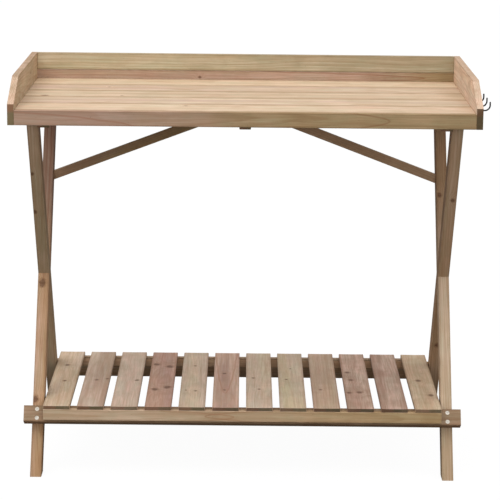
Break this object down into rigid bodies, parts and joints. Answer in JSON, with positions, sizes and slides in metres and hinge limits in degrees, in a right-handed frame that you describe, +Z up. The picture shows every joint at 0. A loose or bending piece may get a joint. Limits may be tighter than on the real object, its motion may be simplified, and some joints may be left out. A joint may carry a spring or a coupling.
{
  "type": "potting bench",
  "caption": "Wooden potting bench: walled work tray on braced X-shaped legs, with a low slatted shelf and side hooks for tools.",
  "frame": {"origin": "on the floor under the middle of the overall box; the hooks on the right make that 11 mm right of the middle of the timberwork", "axes": "X to the user's right along the bench, Y from the front to the back, Z up"},
  "size_m": [1.1222, 0.58, 0.955],
  "materials": {
    "worktop_wood": "planed, untreated, satin",
    "slat_wood": "planed, untreated, matt",
    "tray_wood": "planed, untreated, matt",
    "frame_wood": "sawn and planed, untreated, matt",
    "zinc": "zinc plated",
    "dark_steel": "black oxide, satin"
  },
  "bodies": {
    "root": {"worktop_board_1": "worktop_wood", "worktop_board_2": "worktop_wood", "worktop_board_3": "worktop_wood", "worktop_board_4": "worktop_wood", "worktop_board_5": "worktop_wood", "front_apron": "tray_wood", "back_board_lower": "tray_wood", "back_board_upper": "tray_wood", "side_board_left": "tray_wood", "side_board_right": "tray_wood", "end_batten_left": "frame_wood", "centre_batten": "frame_wood", "end_batten_right": "frame_wood", "leg_left_a": "frame_wood", "leg_left_b": "frame_wood", "leg_right_a": "frame_wood", "leg_right_b": "frame_wood", "shelf_rail_front": "frame_wood", "shelf_rail_back": "frame_wood", "brace_left": "frame_wood", "brace_right": "frame_wood", "shelf_strip_front": "frame_wood", "shelf_strip_back": "frame_wood", "slat_01": "slat_wood", "slat_02": "slat_wood", "slat_03": "slat_wood", "slat_04": "slat_wood", "slat_05": "slat_wood", "slat_06": "slat_wood", "slat_07": "slat_wood", "slat_08": "slat_wood", "slat_09": "slat_wood", "slat_10": "slat_wood", "slat_11": "slat_wood", "slat_12": "slat_wood", "hook_front": "dark_steel", "hook_middle": "dark_steel", "hook_back": "dark_steel", "side_screws": "zinc", "back_screws": "zinc", "worktop_screws": "zinc", "leg_top_screws": "zinc", "crossing_screws": "zinc", "rail_screws": "zinc", "brace_foot_screws": "zinc", "brace_head_screws": "zinc", "slat_screws": "zinc"}
  },
  "joints": []
}
